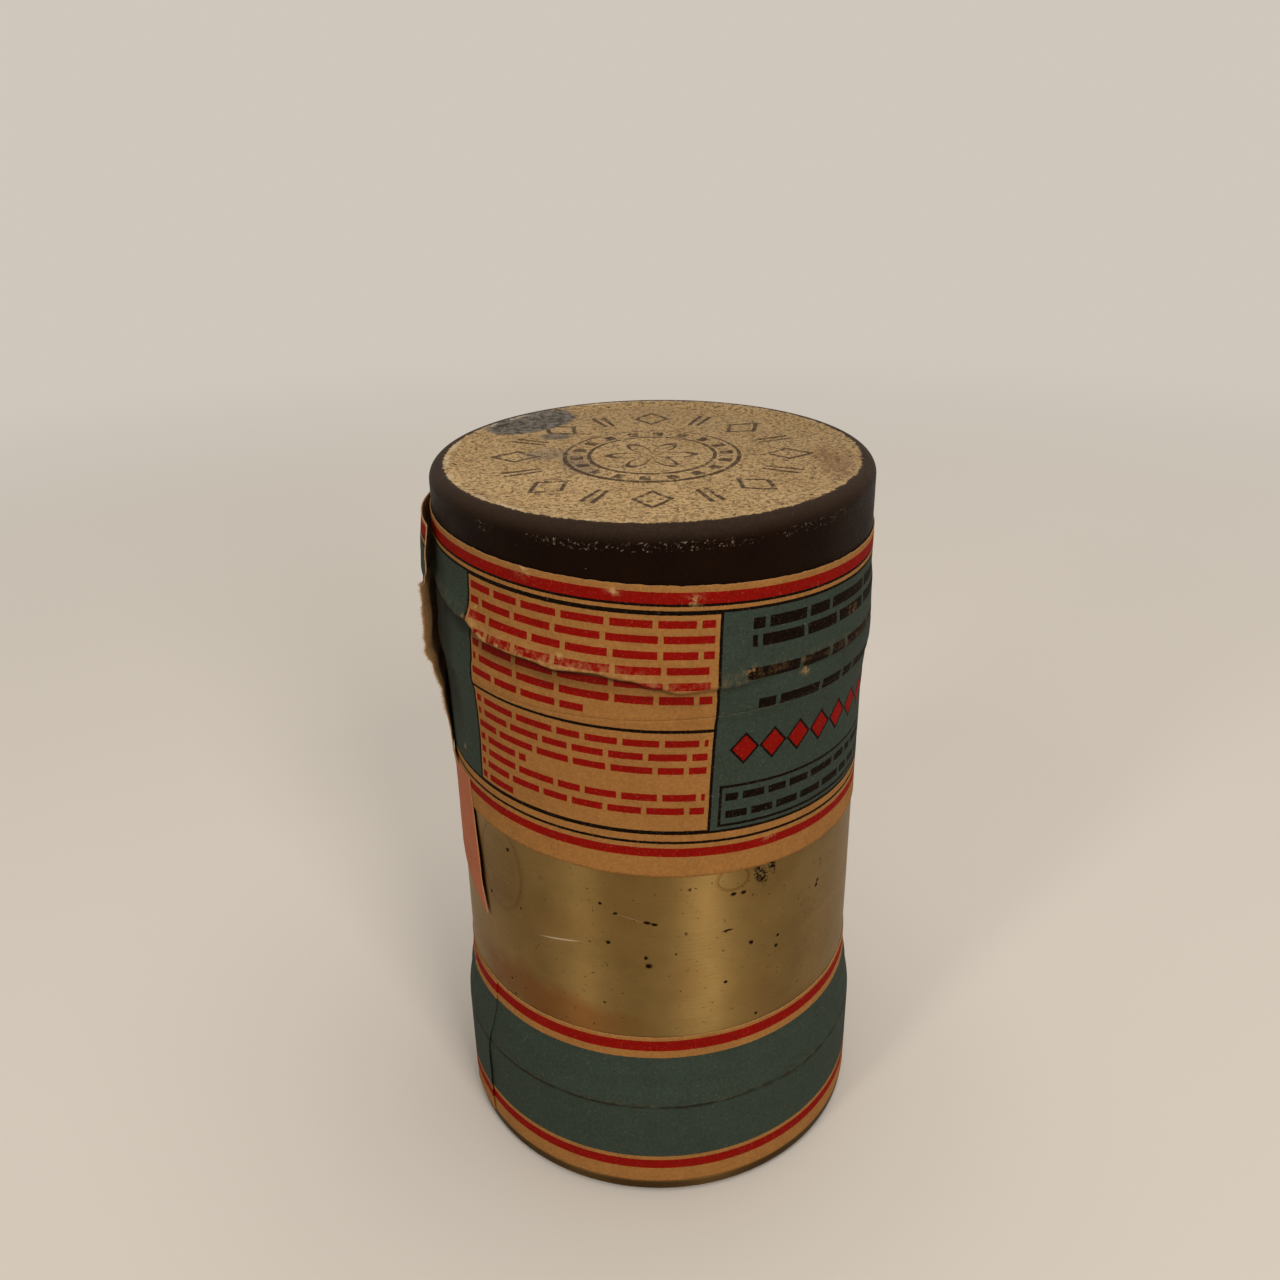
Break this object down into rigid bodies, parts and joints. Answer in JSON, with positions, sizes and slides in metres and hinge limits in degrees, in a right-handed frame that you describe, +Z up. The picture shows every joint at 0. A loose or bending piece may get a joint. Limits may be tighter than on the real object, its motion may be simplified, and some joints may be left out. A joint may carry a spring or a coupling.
{
  "type": "bandage tin",
  "caption": "Cylindrical tinplate bandage tin with a slip lid, wrapped paper labels with a torn lifted end, and sterile dressings inside.",
  "frame": {"origin": "centre of the flat underside of the base, where the tin stands", "axes": "+Z up along the tin's axis towards the lid; -Y is the pictured front; the torn end of the label is towards -X"},
  "size_m": [0.0809, 0.0792, 0.1335],
  "materials": {
    "gold_lacquer": "gold-lacquered tinplate, satin, with pits and scratches",
    "solder": "dull tin-lead solder",
    "lid_lacquer": "dark brown lacquer on the skirt, cream paint with rust specks on the panel",
    "gasket_rubber": "aged red rubber",
    "label_paper": "printed label paper, creased and scuffed",
    "backing_paper": "bare orange-pink paper, torn",
    "parchment": "translucent parchment paper",
    "cotton_wool": "fluffy cotton wool",
    "gauze": "open-weave cotton gauze, rolled",
    "wrap_paper": "plain wrapping paper",
    "ampoule_glass": "clear drawn glass",
    "reagent": "coloured indicator liquid",
    "leaflet_paper": "thin folded leaflet paper, yellowed"
  },
  "bodies": {
    "tin": {"body_tube": "gold_lacquer", "side_seam_solder": "solder", "base_cap": "gold_lacquer", "base_solder_joint": "solder", "base_sealing_compound": "gasket_rubber", "label_body_part": "label_paper", "label_flap_lower": "label_paper", "label_underlay_strip": "backing_paper", "lower_label_band": "label_paper", "lower_label_overlap": "label_paper", "liner_sleeve": "parchment", "base_cotton_pad": "cotton_wool", "base_paper_disc": "parchment", "bandage_roll_1": "gauze", "bandage_roll_2": "gauze", "bandage_roll_3": "gauze", "roll_wrap_1": "wrap_paper", "roll_wrap_2": "wrap_paper", "roll_wrap_3": "wrap_paper", "ampoule_glass": "ampoule_glass", "ampoule_reagent": "reagent", "folded_leaflet": "leaflet_paper"},
    "gasket": {"lid_gasket": "gasket_rubber"},
    "lid": {"lid_cap": "lid_lacquer", "label_lid_part": "label_paper", "label_flap_upper": "label_paper"}
  },
  "joints": [
    {"name": "lid_lift", "type": "slide", "parent": "tin", "child": "gasket", "axis": [0, 0, 1], "range_m": [0, 0.045]},
    {"name": "lid_turn", "type": "hinge", "parent": "gasket", "child": "lid", "pos_m": [0, 0, 0.1335], "axis": [0, 0, 1], "continuous": true}
  ]
}
